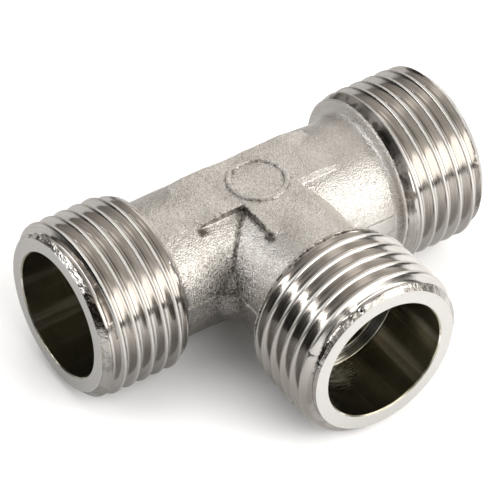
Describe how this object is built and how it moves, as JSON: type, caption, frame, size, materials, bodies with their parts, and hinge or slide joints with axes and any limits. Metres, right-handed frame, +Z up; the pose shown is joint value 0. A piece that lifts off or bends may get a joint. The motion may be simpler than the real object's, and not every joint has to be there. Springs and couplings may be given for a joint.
{
  "type": "pipe tee with male threads",
  "caption": "Equal pipe tee with a parallel male thread, lead chamfer and flat end face on each end, a T-shaped flat with a plain raised ring, and open waterways.",
  "frame": {"origin": "where the axis of the run and the axis of the branch meet", "axes": "+X along the run towards the right end, -Y along the branch towards its open end, +Z up through the flat with the ring"},
  "size_m": [0.052, 0.0365, 0.021],
  "materials": {
    "nickel_plated_brass": "nickel plated over brass: satin forged body, bright turned threads and end faces"
  },
  "bodies": {
    "root": {"tee_body": "nickel_plated_brass"}
  },
  "joints": []
}
